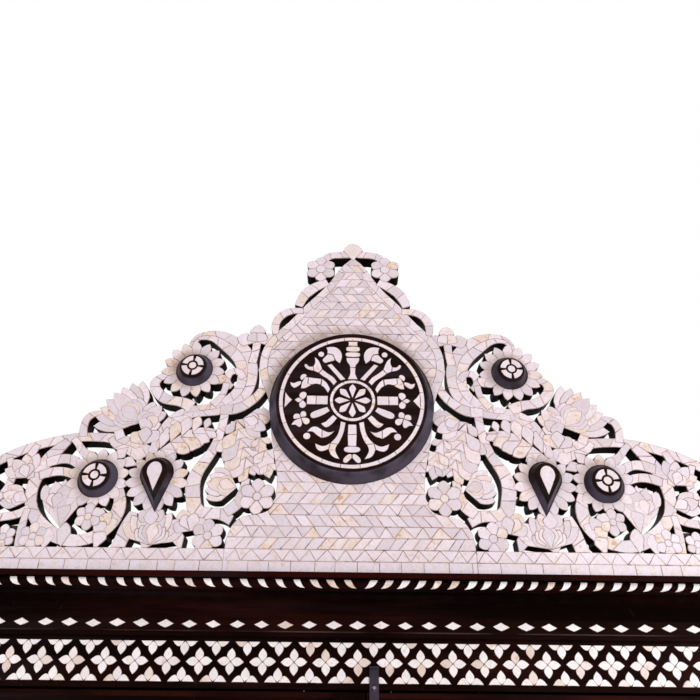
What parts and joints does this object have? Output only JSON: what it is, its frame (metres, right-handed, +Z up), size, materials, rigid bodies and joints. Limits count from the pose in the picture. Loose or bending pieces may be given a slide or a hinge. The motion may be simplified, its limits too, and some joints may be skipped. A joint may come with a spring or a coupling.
{
  "type": "inlaid armoire",
  "caption": "Tall dark-wood armoire with panelled hinged doors over sliding drawers, a stepped cornice and a pierced crest of scrolls and rosettes faced with mother-of-pearl.",
  "frame": {"origin": "on the floor under the middle of the armoire", "axes": "+Z up, +X to the right as seen from the front, front towards -Y"},
  "size_m": [1.24, 0.54, 2.197],
  "materials": {
    "dark_wood": "satin polish",
    "crest_wood": "satin polish",
    "turned_wood": "polished",
    "inner_wood": "bare, planed",
    "pearl": "polished shell",
    "iron": "blackened",
    "steel": "dull"
  },
  "bodies": {
    "case": {"back_boards": "inner_wood", "base_rail": "dark_wood", "bottom_board": "inner_wood", "case_hinge_leaves": "iron", "cornice_bed_front": "dark_wood", "cornice_bed_left": "dark_wood", "cornice_bed_right": "dark_wood", "cornice_cap": "dark_wood", "cornice_round_front": "dark_wood", "cornice_round_left": "dark_wood", "cornice_round_right": "dark_wood", "crest_bosses": "turned_wood", "crest_braces": "inner_wood", "crest_centre": "crest_wood", "crest_left_wing": "crest_wood", "crest_medallion": "turned_wood", "crest_right_wing": "crest_wood", "crest_teardrops": "turned_wood", "deck_board": "inner_wood", "drawer_divider": "dark_wood", "drawer_guides": "inner_wood", "drawer_rail": "dark_wood", "feet": "dark_wood", "foot_blocks": "inner_wood", "frieze_board": "dark_wood", "hinge_pins": "iron", "left_face_stile": "dark_wood", "left_side_panels": "dark_wood", "left_side_rails": "dark_wood", "left_side_stiles": "dark_wood", "lower_shelf": "inner_wood", "middle_shelf": "inner_wood", "right_face_stile": "dark_wood", "right_side_panels": "dark_wood", "right_side_rails": "dark_wood", "right_side_stiles": "dark_wood", "shelf_cleats": "inner_wood", "top_board": "inner_wood", "upper_shelf": "inner_wood"},
    "left_door": {"left_door_hinge_leaves": "iron", "left_door_knob": "turned_wood", "left_door_panels": "dark_wood", "left_door_rails": "dark_wood", "left_door_stiles": "dark_wood", "left_door_strip": "dark_wood"},
    "right_door": {"door_strap": "steel", "right_door_hinge_leaves": "iron", "right_door_knob": "turned_wood", "right_door_panels": "dark_wood", "right_door_rails": "dark_wood", "right_door_stiles": "dark_wood", "strap_rivets": "steel"},
    "left_drawer": {"left_drawer_box": "inner_wood", "left_drawer_floor": "inner_wood", "left_drawer_front": "dark_wood", "left_drawer_knobs": "turned_wood"},
    "right_drawer": {"right_drawer_box": "inner_wood", "right_drawer_floor": "inner_wood", "right_drawer_front": "dark_wood", "right_drawer_knobs": "turned_wood"}
  },
  "joints": [
    {"name": "left_door_hinge", "type": "hinge", "parent": "case", "child": "left_door", "pos_m": [-0.5, -0.215, 0.36], "axis": [0, 0, -1], "range_deg": [0, 110]},
    {"name": "right_door_hinge", "type": "hinge", "parent": "case", "child": "right_door", "pos_m": [0.5, -0.215, 0.36], "axis": [0, 0, 1], "range_deg": [0, 110]},
    {"name": "left_drawer_slide", "type": "slide", "parent": "case", "child": "left_drawer", "axis": [0, -1, 0], "range_m": [0, 0.3]},
    {"name": "right_drawer_slide", "type": "slide", "parent": "case", "child": "right_drawer", "axis": [0, -1, 0], "range_m": [0, 0.3]}
  ]
}
